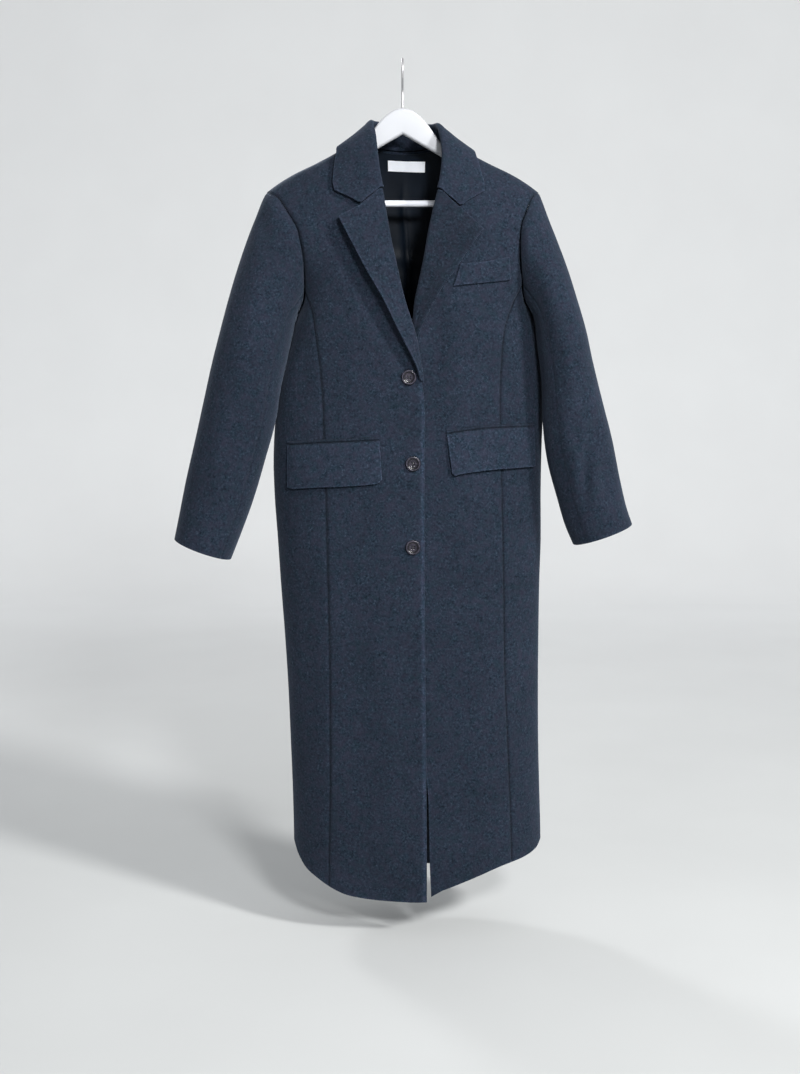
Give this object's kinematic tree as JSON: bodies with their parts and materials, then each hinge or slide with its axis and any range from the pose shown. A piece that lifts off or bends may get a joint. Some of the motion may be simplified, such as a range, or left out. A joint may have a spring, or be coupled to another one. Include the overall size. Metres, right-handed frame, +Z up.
{
  "type": "overcoat and coat hanger",
  "caption": "Long single-breasted wool overcoat with notch lapels and flap pockets, buttoned, hanging on a white wooden hanger with a hook.",
  "frame": {"origin": "inner top of the hanger's hook, where the rail bears", "axes": "+Z up, -Y out of the front of the coat, +X towards the wearer's left"},
  "size_m": [0.7407, 0.177, 1.3572],
  "materials": {
    "wool": "matte",
    "lining": "satin",
    "label": "matte",
    "horn": "gloss",
    "white_paint": "satin",
    "hook_metal": "polished"
  },
  "bodies": {
    "root": {"back": "wool", "back_lining": "lining", "button_bottom": "horn", "button_middle": "horn", "button_top": "horn", "chest_welt": "wool", "collar": "wool", "front_left": "wool", "front_right": "wool", "hanger_bar": "white_paint", "hanger_body": "white_paint", "hanger_hook": "hook_metal", "lapel_left": "wool", "lapel_right": "wool", "neck_label": "label", "pocket_flap_left": "wool", "pocket_flap_right": "wool", "pocket_jet_left": "wool", "pocket_jet_right": "wool", "side_front_left": "wool", "side_front_right": "wool", "sleeve_top_left": "wool", "sleeve_top_right": "wool", "sleeve_under_left": "wool", "sleeve_under_right": "wool"}
  },
  "joints": []
}
